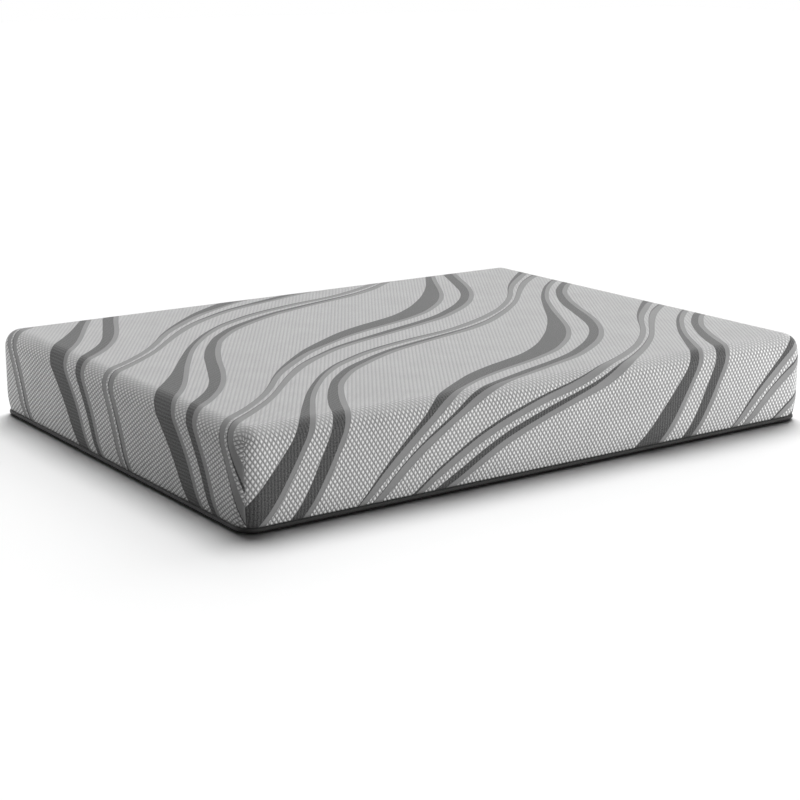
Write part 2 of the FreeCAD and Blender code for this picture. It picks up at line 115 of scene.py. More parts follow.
def solidify(piece, thickness, inside_slot=0):
    """Gives a sheet its thickness, to its inner side."""
    shell = piece.modifiers.new("thickness", "SOLIDIFY")
    shell.thickness = thickness
    shell.offset = -1
    shell.use_even_offset = True
    shell.material_offset = inside_slot


def ring_faces(rings, sides, joined=False):
    """Faces between successive rings of points. The last ring joins the first, or else both are capped."""
    faces = []
    for i in range(rings if joined else rings - 1):
        n = (i + 1) % rings
        for j in range(sides):
            k = (j + 1) % sides
            faces.append((i * sides + j, n * sides + j, n * sides + k, i * sides + k))
    if not joined:
        faces.append(tuple(range(sides)))
        faces.append(tuple((rings - 1) * sides + j for j in range(sides))[::-1])
    return faces


def strip_faces(rings, sides, start, turned_over):
    """Faces of a strip with capped ends, whose points begin at start."""
    faces = []
    for i in range(rings - 1):
        this, after = start + i * sides, start + (i + 1) * sides
        for j in range(sides):
            k = (j + 1) % sides
            faces.append((this + j, this + k, after + k, after + j))
    faces.append(tuple(start + j for j in range(sides))[::-1])
    faces.append(tuple(start + (rings - 1) * sides + j for j in range(sides)))
    return [f[::-1] for f in faces] if turned_over else faces


def round_section(radius, steps):
    """A circle's points, as (outwards, up), for a list of angles."""
    return [(radius * math.cos(t), radius * math.sin(t)) for t in steps]


def resample(points, spacing):
    """Points at even steps along a polyline, both ends kept."""
    points = np.asarray(points, float)
    steps = np.hypot(*np.diff(points, axis=0).T)
    along = np.concatenate([[0], np.cumsum(steps)])
    count = max(2, round(along[-1] / spacing) + 1)
    wanted = np.linspace(0, along[-1], count)
    return np.stack([np.interp(wanted, along, points[:, i]) for i in range(2)], 1)


CORNER_FINENESS = 1.7  # above 1, a corner's points crowd towards its middle


class Outline:
    """The rounded rectangle that a mattress layer follows, walked anticlockwise seen from above.

    Each point has a base on the inner rectangle that joins the corner centres, a direction outwards, and
    turned: how far round its corner it is, 0 on a straight side.
    """

    def __init__(self, inset, corner, side_spacing, corner_steps):
        self.a = HALF_LENGTH - inset - corner
        self.b = HALF_WIDTH - inset - corner
        self.corner = corner
        self.nx = max(2, round(2 * self.a / side_spacing))
        self.ny = max(2, round(2 * self.b / side_spacing))
        half = 1 - (1 - np.linspace(0, 1, corner_steps + 1)) ** CORNER_FINENESS
        turn = np.concatenate([half, 2 - half[-2::-1]]) * EIGHTH_TURN
        spots = []
        for k in range(4):
            start = (k - 1) * RIGHT_ANGLE
            count = self.nx if k % 2 == 0 else self.ny
            corners = [(-self.a, -self.b), (self.a, -self.b), (self.a, self.b), (-self.a, self.b)]
            p = np.array(corners[k])
            q = np.array(corners[(k + 1) % 4])
            spots += [(p + (q - p) * i / count, start, 0.0, k) for i in range(count + 1)]
            spots += [(q, start + t, t, k) for t in turn[1:-1]]
        self.base, self.angle, self.turned, self.side = (np.array(column) for column in zip(*spots))
        self.out = np.stack([np.cos(self.angle), np.sin(self.angle)], 1)
        self.count = len(spots)

    def seam_distance(self):
        """Distance along the outline from each point to the nearest corner's middle line."""
        inside_corner = self.turned > 0
        return np.where(inside_corner, self.corner * np.abs(self.turned - EIGHTH_TURN), 1.0)


def layer_mesh(outline, profile, push=None, closed=False):
    """Points and faces of a layer: a flat top, the profile swept round the outline and, if closed, a bottom.

    profile is (distance out, height) from the top's edge down. push gives a further distance out for each
    level and outline point.
    """
    nx, ny, count = outline.nx, outline.ny, outline.count
    xs = np.linspace(-outline.a, outline.a, nx + 1)
    ys = np.linspace(-outline.b, outline.b, ny + 1)
    grid = np.array([(x, y) for y in ys for x in xs])
    ring_of_grid = []
    for k in range(4):
        line = {0: [(i, 0) for i in range(nx + 1)], 1: [(nx, j) for j in range(ny + 1)],
                2: [(nx - i, ny) for i in range(nx + 1)], 3: [(0, ny - j) for j in range(ny + 1)]}[k]
        ring_of_grid += [j * (nx + 1) + i for i, j in line]
        arc_points = int(np.sum((outline.side == k) & (outline.turned > 0)))
        ring_of_grid += [ring_of_grid[-1]] * arc_points
    points = [np.column_stack([grid, np.full(len(grid), profile[0][1])])]
    rings = [np.array(ring_of_grid)]
    start = len(grid)
    last = len(profile) - (1 if closed else 0)
    for level in range(1, last):
        out, z = profile[level]
        reach = out + (0 if push is None else push[level])
        xy = outline.base + outline.out * np.reshape(reach, (-1, 1))
        points.append(np.column_stack([xy, np.full(count, z)]))
        rings.append(np.arange(start, start + count))
        start += count
    faces = [(j * (nx + 1) + i, j * (nx + 1) + i + 1, (j + 1) * (nx + 1) + i + 1, (j + 1) * (nx + 1) + i)
             for j in range(ny) for i in range(nx)]
    if closed:
        points.append(np.column_stack([grid, np.full(len(grid), profile[-1][1])]))
        rings.append(np.array(ring_of_grid) + start)
        faces += [tuple(start + v for v in reversed(f)) for f in list(faces)]
    keys = [None] * len(faces)
    for level in range(len(rings) - 1):
        upper, lower = rings[level], rings[level + 1]
        for i in range(count):
            n = (i + 1) % count
            corners = [(upper[i], level, i), (lower[i], level + 1, i),
                       (lower[n], level + 1, n), (upper[n], level, n)]
            kept = [c for at, c in enumerate(corners) if c[0] != corners[at - 1][0]]
            faces.append(tuple(int(c[0]) for c in kept))
            keys.append((i, [c[1:] for c in kept]))
    return np.concatenate(points), faces, keys


# ---------------- shader nodes

class Shader:
    """A material under construction. Each method adds a node and returns its output socket."""

    def __init__(self, name, tree=None):
        if tree is None:
            self.material = bpy.data.materials.new(name)
            self.material.use_nodes = True
            tree = self.material.node_tree
            self.surface = tree.nodes["Principled BSDF"]
        self.tree = tree

    def put(self, socket, value):
        if isinstance(value, bpy.types.NodeSocket):
            self.tree.links.new(value, socket)
        elif value is not None:
            socket.default_value = value

    def node(self, kind, **settings):
        made = self.tree.nodes.new(kind)
        for key, value in settings.items():
            setattr(made, key, value)
        return made

    def math(self, operation, *values):
        made = self.node("ShaderNodeMath", operation=operation)
        for socket, value in zip(made.inputs, values):
            self.put(socket, value)
        return made.outputs[0]

    def times(self, a, b):
        return self.math("MULTIPLY", a, b)

    def plus(self, a, b):
        return self.math("ADD", a, b)

    def minus(self, a, b):
        return self.math("SUBTRACT", a, b)

    def ramp(self, value, low, high, to_low=0.0, to_high=1.0):
        """value from low..high taken smoothly to to_low..to_high and held there."""
        made = self.node("ShaderNodeMapRange", interpolation_type="SMOOTHSTEP")
        for socket, number in zip(made.inputs, (value, low, high, to_low, to_high)):
            self.put(socket, number)
        return made.outputs[0]

    def mix(self, factor, a, b):
        made = self.node("ShaderNodeMix", data_type="RGBA", clamp_factor=True)
        self.put(made.inputs["Factor"], factor)
        self.put([s for s in made.inputs if s.name == "A" and s.type == "RGBA"][0], a)
        self.put([s for s in made.inputs if s.name == "B" and s.type == "RGBA"][0], b)
        return [s for s in made.outputs if s.type == "RGBA"][0]

    def noise(self, place, scale, detail=3.0, roughness=0.55):
        made = self.node("ShaderNodeTexNoise")
        self.put(made.inputs["Vector"], place)
        made.inputs["Scale"].default_value = scale
        made.inputs["Detail"].default_value = detail
        made.inputs["Roughness"].default_value = roughness
        return made.outputs["Fac"]

    def scaled(self, place, factors):
        made = self.node("ShaderNodeVectorMath", operation="MULTIPLY")
        self.put(made.inputs[0], place)
        made.inputs[1].default_value = factors
        return made.outputs[0]

    def place(self):
        """The point's place in the object's own frame, in metres."""
        return self.node("ShaderNodeTexCoord").outputs["Object"]

    def cloth(self):
        """The point's flat-cloth coordinates, in metres."""
        return self.node("ShaderNodeUVMap", uv_map="fabric").outputs["UV"]

    def split(self, vector):
        made = self.node("ShaderNodeSeparateXYZ")
        self.put(made.inputs[0], vector)
        return made.outputs[0], made.outputs[1], made.outputs[2]

    def bump(self, height, distance, below=None):
        made = self.node("ShaderNodeBump")
        made.inputs["Strength"].default_value = 1.0
        made.inputs["Distance"].default_value = distance
        self.put(made.inputs["Height"], height)
        self.put(made.inputs["Normal"], below)
        return made.outputs[0]

    def finish(self, **sockets):
        """Sets or links the shader's own sockets, written with _ for a space."""
        for name, value in sockets.items():
            self.put(self.surface.inputs[name.replace("_", " ")], value)
        return self.material


def grey(level):
    return (level, level, level, 1.0)


def tint(r, g, b):
    return (r, g, b, 1.0)


# ---------------- jacquard pattern

# The courses of the two stripe families over two repeats of the cloth, in millimetres. Each place has
# its distance along the cloth, the distance across of the edge between the grey band and the charcoal
# band, the width of the grey band below that edge, and the width of the charcoal band above it.
STRIPE_RUN = 2 * PATTERN_LENGTH
STRIPE_CLIMB = 3 * PATTERN_WIDTH
FIRST_STRIPE = [
    (0, 98, 16, 60), (120, 140, 18, 65), (240, 198, 20, 86), (355, 290, 22, 98), (416, 355, 24, 98),
    (464, 417, 26, 89), (510, 491, 28, 72), (560, 580, 28, 52), (597, 645, 30, 42), (717, 828, 22, 21),
    (837, 966, 20, 14), (945, 1064, 22, 8), (1095, 1148, 22, 9), (1195, 1188, 20, 10), (1335, 1232, 20, 7),
    (1425, 1251, 20, 5), (1515, 1274, 21, 4), (1636, 1327, 25, 3), (1735, 1379, 25, 2), (1855, 1455, 23, 2),
    (1975, 1560, 23, 2), (2050, 1645, 26, 4), (2116, 1728, 24, 8), (2188, 1799, 27, 12), (2230, 1834, 28, 16),
    (2290, 1884, 26, 21), (2350, 1930, 22, 27), (2450, 1984, 15, 42), (2570, 2051, 14, 53),
    (2690, 2099, 16, 59),
]
SECOND_STRIPE = [
    (0, 13, 18, 26), (120, 54, 18, 26), (235, 98, 22, 32), (355, 174, 24, 35), (430, 228, 24, 42),
    (500, 297, 24, 46), (530, 334, 25, 47), (560, 372, 26, 57), (600, 435, 28, 79), (640, 509, 33, 88),
    (677, 589, 36, 84), (717, 686, 38, 66), (837, 881, 26, 34), (957, 995, 20, 28), (1095, 1079, 20, 21),
    (1195, 1130, 20, 19), (1335, 1177, 16, 17), (1455, 1214, 17, 14), (1515, 1233, 21, 11),
    (1575, 1254, 23, 9), (1636, 1282, 25, 7), (1710, 1321, 27, 5), (1855, 1420, 23, 4), (1975, 1520, 21, 3),
    (2095, 1653, 25, 3), (2164, 1727, 29, 3), (2215, 1775, 30, 4), (2278, 1826, 28, 5), (2320, 1850, 25, 8),
    (2368, 1878, 21, 10), (2410, 1904, 20, 12), (2470, 1936, 20, 14), (2570, 1973, 18, 18),
    (2690, 2010, 15, 26),
]
FINE_STEP = 5 * MM
SMOOTHING = 28 * MM  # how widely a course is averaged
SMOOTHING_STEPS = 20  # the average's reach each way, in fine steps
KNOT_SPACING = 50 * MM
CURVE_MARGIN = 100 * MM  # the curves run on past both ends by this much, so that they join smoothly
CURVE_SPAN = STRIPE_RUN + 2 * CURVE_MARGIN
SHIFT_SPAN = 0.5  # room for the departures of a stripe from a straight climb
SHIFT_BASE = -0.1
WIDTH_SPAN = 0.12
BAND_SOFTNESS = 1.2 * MM  # half the width over which one yarn gives way to the next


def stripe_knots(course):
    """Even knots of one family: place, departure from the straight climb, grey width and charcoal width.

    The course is smoothed a little on the way, so that the bands run without corners.
    """
    places, edges, grey_widths, dark_widths = np.array(course, float).T * MM
    departures = edges - places * STRIPE_CLIMB / STRIPE_RUN
    fine = np.arange(0, STRIPE_RUN - FINE_STEP / 2, FINE_STEP)
    steps = np.arange(-SMOOTHING_STEPS, SMOOTHING_STEPS + 1)
    weights = np.exp(-0.5 * (steps * FINE_STEP / SMOOTHING) ** 2)
    columns = []
    for values in (departures, grey_widths, dark_widths):
        line = np.interp(fine, places, values, period=STRIPE_RUN)
        columns.append(sum(w * np.roll(line, k) for k, w in zip(steps, weights)) / weights.sum())
    spots = np.arange(-CURVE_MARGIN, STRIPE_RUN + CURVE_MARGIN + KNOT_SPACING / 2, KNOT_SPACING)
    return [(spot, *(np.interp(spot, fine, line, period=STRIPE_RUN) for line in columns)) for spot in spots]


def curve_node(shader, knots, column, span, value, base=0.0):
    """A Float Curve through one column of the knots, read at value."""
    made = shader.node("ShaderNodeFloatCurve")
    curve = made.mapping.curves[0]
    spots = [((k[0] + CURVE_MARGIN) / CURVE_SPAN, (k[column] - base) / span) for k in knots]
    while len(curve.points) < len(spots):
        curve.points.new(0.5, 0.5)
    for point, spot in zip(curve.points, spots):
        point.location = spot
        point.handle_type = "AUTO"
    made.mapping.update()
    shader.put(made.inputs["Value"], value)
    return shader.math("MULTIPLY_ADD", made.outputs[0], span, base)


def stripe_group(name, course):
    """A node group: cloth coordinates in, the family's grey and charcoal masks out."""
    group = bpy.data.node_groups.new(name, "ShaderNodeTree")
    for socket, way in (("Along", "INPUT"), ("Across", "INPUT"), ("Grey", "OUTPUT"), ("Charcoal", "OUTPUT")):
        group.interface.new_socket(socket, in_out=way, socket_type="NodeSocketFloat")
    s = Shader(name, group)
    entry = s.node("NodeGroupInput")
    knots = stripe_knots(course)
    share = s.math("FRACT", s.math("DIVIDE", entry.outputs["Along"], STRIPE_RUN))
    spot = s.math("MULTIPLY_ADD", share, STRIPE_RUN / CURVE_SPAN, CURVE_MARGIN / CURVE_SPAN)
    shift = curve_node(s, knots, 1, SHIFT_SPAN, spot, SHIFT_BASE)
    grey_width = curve_node(s, knots, 2, WIDTH_SPAN, spot)
    dark_width = curve_node(s, knots, 3, WIDTH_SPAN, spot)
    edge = s.math("MULTIPLY_ADD", share, STRIPE_CLIMB, shift)
    above = s.math("WRAP", s.minus(entry.outputs["Across"], edge), PATTERN_WIDTH / 2,
                   -PATTERN_WIDTH / 2)
    over_edge = s.ramp(above, -BAND_SOFTNESS, BAND_SOFTNESS)
    under_edge = s.ramp(above, BAND_SOFTNESS, -BAND_SOFTNESS)
    over_grey = s.ramp(s.plus(above, grey_width), -BAND_SOFTNESS, BAND_SOFTNESS)
    under_dark = s.ramp(s.minus(above, dark_width), BAND_SOFTNESS, -BAND_SOFTNESS)
    leave = s.node("NodeGroupOutput")
    s.put(leave.inputs["Grey"], s.times(under_edge, over_grey))
    s.put(leave.inputs["Charcoal"], s.times(over_edge, under_dark))
    return group


def stripes(shader, along, across):
    """The grey and charcoal masks of every stripe at a point of the cloth."""
    found = {"Grey": None, "Charcoal": None}
    for name, course in (("first_stripe", FIRST_STRIPE), ("second_stripe", SECOND_STRIPE)):
        group = stripe_group(name, course)
        for shift in (0, PATTERN_LENGTH):
            use = shader.node("ShaderNodeGroup", node_tree=group)
            shader.put(use.inputs["Along"], shader.plus(along, shift))
            shader.put(use.inputs["Across"], across)
            for key, so_far in found.items():
                band = use.outputs[key]
                found[key] = band if so_far is None else shader.math("MAXIMUM", so_far, band)
    return found["Grey"], found["Charcoal"]


PIP_ALONG = 13.48 * MM  # spacing of the knit's pips in one row
PIP_ACROSS = 20.3 * MM  # two rows, which are half a spacing apart
PIP_WIDE = 3.2 * MM
PIP_TALL = 4.3 * MM
GROOVE_START = 0.36  # share of a lattice cell at which a groove begins
RIB_PITCH = 9.9 * MM  # ribs of the charcoal stripes
YARN_GRAIN = 900  # features of noise in a metre
FLECK_GRAIN = 520
CLOUD_GRAIN = 9
TOP_RELIEF = 0.32  # share of the border's relief that is left on the flat top
TOP_PAINTED_SHADE = 0.91  # painted shade: the flat top's colour is darkened, standing in for less light falling on it
BETWEEN_PALE, BETWEEN_DARK = 0.31, 0.13  # ground between the pips, and in the grooves
PIP_PALE = 0.56
GREY_LOW, GREY_HIGH = 0.14, 0.185
CHARCOAL_LOW, CHARCOAL_HIGH = 0.018, 0.095
KNIT_RELIEF = 1.8 * MM
YARN_RELIEF = 0.12 * MM


def pip_lattice(shader, along, across):
    """The staggered pips: a mask of the pips, and of the two slanting grooves between them."""
    a = shader.math("DIVIDE", along, PIP_ALONG)
    b = shader.math("DIVIDE", across, PIP_ACROSS)
    p = shader.math("WRAP", shader.plus(a, b), 0.5, -0.5)
    q = shader.math("WRAP", shader.minus(a, b), 0.5, -0.5)
    local_along = shader.times(shader.plus(p, q), PIP_ALONG / 2)
    local_across = shader.times(shader.minus(p, q), PIP_ACROSS / 2)
    wide = shader.math("POWER", shader.math("DIVIDE", shader.math("ABSOLUTE", local_along), PIP_WIDE), 2.0)
    tall = shader.math("POWER", shader.math("DIVIDE", shader.math("ABSOLUTE", local_across), PIP_TALL), 2.0)
    radius = shader.plus(wide, tall)
    pip = shader.ramp(radius, 1.5, 0.1)
    falling = shader.ramp(shader.math("ABSOLUTE", p), GROOVE_START, 0.5)
    rising = shader.ramp(shader.math("ABSOLUTE", q), GROOVE_START, 0.5)
    return pip, falling, rising


def knit_material():
    """Jacquard knit: raised pale pips on a grey ground, with flat grey and ribbed charcoal stripes."""
    s = Shader("jacquard_knit")
    cloth = s.cloth()
    along, across, _ = s.split(cloth)
    grey_band, dark_band = stripes(s, along, across)
    pip, falling, rising = pip_lattice(s, along, across)
    open_ground = s.minus(1.0, s.math("MAXIMUM", grey_band, dark_band))

    # The knit is stretched flatter on the top, and its pips stand out on the border.
    _, _, height = s.split(s.place())
    relaxed = s.ramp(height, BORDER_FULL, TOP_FLAT, 1.0, TOP_RELIEF)

    yarn = s.noise(s.scaled(cloth, (1.0, 0.35, 1.0)), YARN_GRAIN, detail=2)
    cloudy = s.noise(cloth, CLOUD_GRAIN, detail=2)
    ribs = s.math("SINE", s.times(along, 2 * math.pi / RIB_PITCH))
    speckle = s.noise(s.scaled(cloth, (1.0, 0.45, 1.0)), FLECK_GRAIN, detail=2, roughness=0.7)

    groove = s.math("MAXIMUM", falling, s.times(rising, 0.6))
    between = s.mix(s.times(groove, relaxed), grey(BETWEEN_PALE), grey(BETWEEN_DARK))
    ground = s.mix(s.times(pip, relaxed), between, grey(PIP_PALE))
    grey_yarn = s.mix(yarn, grey(GREY_LOW), grey(GREY_HIGH))
    thread = s.plus(s.ramp(speckle, 0.32, 0.68), s.times(ribs, 0.2))
    dark_yarn = s.mix(s.ramp(thread, -0.1, 1.2), grey(CHARCOAL_LOW), grey(CHARCOAL_HIGH))
    colour = s.mix(grey_band, ground, grey_yarn)
    colour = s.mix(dark_band, colour, dark_yarn)
    # Painted shade: the flat top's colour is darkened, standing in for less light on it; cloudy only varies
    # the tone at random.
    top_painted_shade = s.ramp(height, BORDER_FULL, TOP_FLAT, 1.0, TOP_PAINTED_SHADE)
    shade = s.times(s.ramp(cloudy, 0.3, 0.7, 0.97, 1.03), top_painted_shade)
    toned = s.node("ShaderNodeVectorMath", operation="SCALE")
    s.put(toned.inputs[0], colour)
    s.put(toned.inputs["Scale"], shade)

    swell = s.times(s.minus(pip, s.times(groove, 0.5)), open_ground)
    rib_relief = s.times(s.times(ribs, 0.1), dark_band)
    relief = s.plus(s.plus(swell, rib_relief), s.times(open_ground, 0.6))
    normal = s.bump(s.times(relief, relaxed), KNIT_RELIEF)
    normal = s.bump(yarn, YARN_RELIEF, below=normal)
    roughness = s.ramp(yarn, 0.2, 0.8, 0.62, 0.78)
    return s.finish(Base_Color=toned.outputs[0], Roughness=roughness, Normal=normal,
                    Specular_IOR_Level=0.12, Sheen_Weight=0.04, Sheen_Roughness=0.5,
                    Sheen_Tint=grey(1.0))


# ---------------- other materials

def woven_material(name, dark, light, thread, gloss=0.5, sheen=0.2, shine=0.3):
    """A plain weave of the given thread width, seen by its place in the object."""
    s = Shader(name)
    place = s.place()
    x, y, z = s.split(place)
    run = s.plus(s.plus(x, y), s.times(z, 0.6))
    rise = s.minus(s.minus(x, y), z)
    warp = s.math("SINE", s.times(run, math.pi / thread))
    weft = s.math("SINE", s.times(rise, math.pi / thread))
    over = s.times(warp, weft)
    fibre = s.noise(place, 1400, detail=2)
    wear = s.noise(place, 14, detail=3)
    colour = s.mix(s.ramp(over, -0.8, 0.8), dark, light)
    colour = s.mix(s.ramp(wear, 0.45, 0.75, 0.0, 0.35), colour, light)
    height = s.math("MULTIPLY_ADD", fibre, 0.4, over)
    normal = s.bump(height, 0.15 * MM)
    return s.finish(Base_Color=colour, Roughness=s.ramp(fibre, 0.3, 0.7, gloss, gloss + 0.2), Normal=normal,
                    Specular_IOR_Level=shine, Sheen_Weight=sheen, Sheen_Roughness=0.4)


def foam_material(name, dark, light, cell):
    """Open-cell foam: fine pits, a cloudy colour, and painted shade that darkens the pits."""
    s = Shader(name)
    place = s.place()
    pores = s.node("ShaderNodeTexVoronoi")
    s.put(pores.inputs["Vector"], place)
    pores.inputs["Scale"].default_value = 1 / cell
    pit = s.ramp(pores.outputs["Distance"], 0.05, 0.45)
    cloudy = s.noise(place, 6, detail=4)
    colour = s.mix(s.ramp(cloudy, 0.35, 0.65), dark, light)
    # Painted shade: the colour darkens towards the middle of each pit, where the bump sinks.
    colour = s.mix(s.ramp(pit, 0.0, 1.0, 0.45, 0.0), colour, dark)
    normal = s.bump(pit, 0.3 * MM)
    return s.finish(Base_Color=colour, Roughness=s.ramp(cloudy, 0.3, 0.7, 0.82, 0.95), Normal=normal,
                    Sheen_Weight=0.1)


def metal_material():
    """Nickel-plated zinc: brushed, with faint smudges and rubbed spots."""
    s = Shader("zipper_metal")
    place = s.place()
    brushed = s.noise(s.scaled(place, (1.0, 14.0, 14.0)), 300, detail=3)
    smudge = s.noise(place, 160, detail=3)
    colour = s.mix(s.ramp(smudge, 0.35, 0.65), grey(0.42), grey(0.56))
    roughness = s.ramp(brushed, 0.2, 0.8, 0.22, 0.42)
    return s.finish(Base_Color=colour, Roughness=roughness, Normal=s.bump(brushed, 0.02 * MM), Metallic=1.0)


KNIT = knit_material()
BACKING = woven_material("knit_backing", grey(0.42), grey(0.58), 0.8 * MM, gloss=0.7)
PIPING_CLOTH = woven_material("piping_fabric", grey(0.006), grey(0.018), 0.7 * MM, sheen=0.02, shine=0.2)
BASE_CLOTH = woven_material("base_fabric", grey(0.02), grey(0.05), 1.1 * MM, gloss=0.6)
ZIPPER_CLOTH = woven_material("zipper_tape", grey(0.012), grey(0.03), 0.5 * MM)
COIL_NYLON = woven_material("zipper_coil", grey(0.015), grey(0.03), 0.4 * MM, gloss=0.28, sheen=0.0)
THREAD = woven_material("seam_thread", grey(0.35), grey(0.5), 0.3 * MM)
BARRIER = woven_material("barrier_knit", tint(0.62, 0.6, 0.55), tint(0.78, 0.76, 0.7), 1.4 * MM, gloss=0.75)
FILLER = woven_material("filler_cord", grey(0.55), grey(0.72), 0.6 * MM, gloss=0.7)
GEL_FOAM = foam_material("gel_foam", tint(0.22, 0.42, 0.62), tint(0.42, 0.62, 0.78), 1.1 * MM)
TRANSITION_FOAM = foam_material("transition_foam", tint(0.68, 0.68, 0.66), tint(0.8, 0.8, 0.77), 1.4 * MM)
CORE_FOAM = foam_material("core_foam", tint(0.5, 0.5, 0.5), tint(0.62, 0.62, 0.61), 1.6 * MM)
METAL = metal_material()


def dress(piece, slot, *materials):
    """Gives a piece its materials. slot is not used."""
    piece.data.materials.clear()
    for material in materials:
        piece.data.materials.append(material)


# ---------------- knit cover

def tuck(height):
    """How far the border has drawn in at a height, to meet the piping."""
    return TUCK_DEPTH * (max(TUCK_START - height, 0) / (TUCK_START - HEM)) ** 2


def cover_profile():
    """The border from the top's edge down to the hem, as (distance out, height)."""
    flat = CORNER_RADIUS - TOP_EDGE_RADIUS
    quarter = np.linspace(0, RIGHT_ANGLE, 90)
    power = 2 / EDGE_SQUARENESS
    bend = [(flat + TOP_EDGE_RADIUS * math.sin(t) ** power,
             TOP - TOP_EDGE_RADIUS + TOP_EDGE_RADIUS * max(math.cos(t), 0) ** power) for t in quarter]
    heights = np.linspace(TOP - TOP_EDGE_RADIUS, HEM, 60)[1:]
    border = [(CORNER_RADIUS - tuck(z), z) for z in heights]
    return resample([(0, TOP)] + bend + border, PROFILE_STEP)


DART_TOP = TOP - 27 * MM  # the corner's cloth is cut and sewn from here down
SEAM_RIDGE = 3.0 * MM  # the sewn allowance stands behind the seam and lifts the cloth
SEAM_GROOVE = 1.6 * MM  # the thread draws the cloth in along the seam itself
RIDGE_SPREAD = 15 * MM
GROOVE_SPREAD = 1.8 * MM
GATHER_DEPTH = 0.2 * MM  # small puckers beside the seam
GATHER_SPREAD = 7 * MM
GATHER_PITCH = 2.1 * MM
WAVE_DEPTH = 0.4 * MM  # slow waves of the border
WAVE_ABOVE_HEM = 40 * MM  # the waves come in over this height from the hem
WAVE_BELOW_DART = 30 * MM
SWELL_DEPTH = 0.5 * MM  # slow swell of the top
CROWN = 0.8 * MM  # the top stands this much above its edges
CROWN_SPREAD = 120 * MM
SEAM_FADE = 60 * MM  # height over which a seam's shape comes in
CATCH_UP = 9 * MM  # the pattern falls in with the sides over this much of the seam


def seam_blend(height):
    """How fully a corner's shape is that of its seam at a height."""
    return smoothstep((DART_TOP - height) / SEAM_FADE)


def cover_push(outline, profile):
    """How far each point of the border is drawn in or out: the corner seams, and the cloth's slight waves."""
    reach = np.zeros((len(profile), outline.count))
    seam = outline.seam_distance()
    run = outline.base[:, 0] * 7.1 + outline.base[:, 1] * 8.3 + outline.angle
    for level, (_, z) in enumerate(profile):
        ridge = SEAM_RIDGE * np.exp(-seam / RIDGE_SPREAD)
        groove = SEAM_GROOVE * np.exp(-(seam / GROOVE_SPREAD) ** 2)
        gather = GATHER_DEPTH * math.sin(z / GATHER_PITCH) * np.exp(-seam / GATHER_SPREAD)
        low = smoothstep((z - HEM) / WAVE_ABOVE_HEM) * smoothstep((DART_TOP - z) / WAVE_BELOW_DART)
        wave = WAVE_DEPTH * low * (1.6 + np.sin(run * 1.3 + z * 9) + 0.6 * np.sin(run * 3.1 - z * 14))
        reach[level] = (ridge - groove + gather) * seam_blend(z) + wave
    return reach


def cover_coordinates(outline, profile, grid_points, faces, keys):
    """Flat-cloth coordinates for each face corner. The cloth runs straight over the top's edges, and each
    corner's surplus is taken up in its seam, where the two sides' patterns meet."""
    steps = np.hypot(*np.diff(profile, axis=0).T)
    drop = np.concatenate([[0], np.cumsum(steps)])
    # On the corner's middle line the cloth spreads evenly both ways as far as the seam's top, then catches
    # up with the sides within a row or two.
    across = profile[:, 0] * EIGHTH_TURN
    dart = np.interp(-DART_TOP, -profile[:, 1], drop)
    most = dart - np.interp(dart, drop, across)
    lag = np.where(drop < dart, drop - across, most * np.exp((dart - drop) / CATCH_UP))
    start = (outline.side - 1) * RIGHT_ANGLE
    first = np.stack([np.cos(start), np.sin(start)], 1)
    second = np.stack([-np.sin(start), np.cos(start)], 1)

    def on_side(level, i, use_second):
        turned = outline.turned[i]
        share = (RIGHT_ANGLE - turned if use_second else turned) / EIGHTH_TURN
        ahead, aside = (second[i], first[i]) if use_second else (first[i], second[i])
        down = drop[level] - lag[level] * share ** 4
        return outline.base[i] + ahead * down + aside * across[level] * share

    found = []
    for face, key in zip(faces, keys):
        if key is None:
            found += [grid_points[v][:2] for v in face]
        else:
            before, corners = key
            past_seam = outline.turned[before] > EIGHTH_TURN - 1e-6
            found += [on_side(level, i, past_seam and outline.turned[i] > 0) for level, i in corners]
    return found


def make_cover():
    outline = Outline(0.0, CORNER_RADIUS, COVER_STEP, 10)
    profile = cover_profile()
    points, faces, keys = layer_mesh(outline, profile, cover_push(outline, profile))
    x, y, z = points.T
    broad = np.sin(x * 5.3 + 1) * np.sin(y * 6.1)
    narrow = np.sin(x * 12.7) * np.sin(y * 11.3 + 2)
    swell = SWELL_DEPTH * (broad + 0.5 * narrow)
    inner = np.minimum(HALF_LENGTH - np.abs(x), HALF_WIDTH - np.abs(y))
    points[:, 2] += (swell + CROWN) * smoothstep(inner / CROWN_SPREAD) * (z > TOP - 1 * MM)
    cover = new_mesh("knit_cover_shell", points, faces)
    cloth_map(cover, cover_coordinates(outline, profile, points, faces, keys))
    dress(cover, "jacquard_knit", KNIT, BACKING)
    solidify(cover, KNIT_THICKNESS, inside_slot=1)
    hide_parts("knit_cover")


# ---------------- piping

PIPING_INSET = 8.5 * MM
PIPING_HEIGHT = 11.5 * MM
PIPING_RADIUS = 6.5 * MM
FILLER_RADIUS = 5.3 * MM
FLANGE_REACH = 7.4 * MM
FLANGE_LOW = 3.3 * MM
FLANGE_HIGH = 6.4 * MM
PIPING_RIPPLE = 0.12 * MM  # slight unevenness along the wrap


def sweep(outline_points, tangents, section):
    """Sweeps a closed section, given as (outwards, up), all the way round a level loop."""
    rings = []
    for centre, tangent in zip(outline_points, tangents):
        out = np.array([tangent[1], -tangent[0], 0.0])
        rings.append([centre + out * o + np.array([0, 0, u]) for o, u in section])
    return np.concatenate(rings), ring_faces(len(rings), len(section), joined=True)


def piping_path(spacing):
    """The piping's middle line, all the way round: its points and its directions."""
    corner = CORNER_RADIUS - PIPING_INSET
    outline = Outline(PIPING_INSET, corner, spacing, 8)
    xy = outline.base + outline.out * corner
    points = np.column_stack([xy, np.full(len(xy), PIPING_HEIGHT)])
    tangents = np.stack([-outline.out[:, 1], outline.out[:, 0]], 1)
    return points, tangents


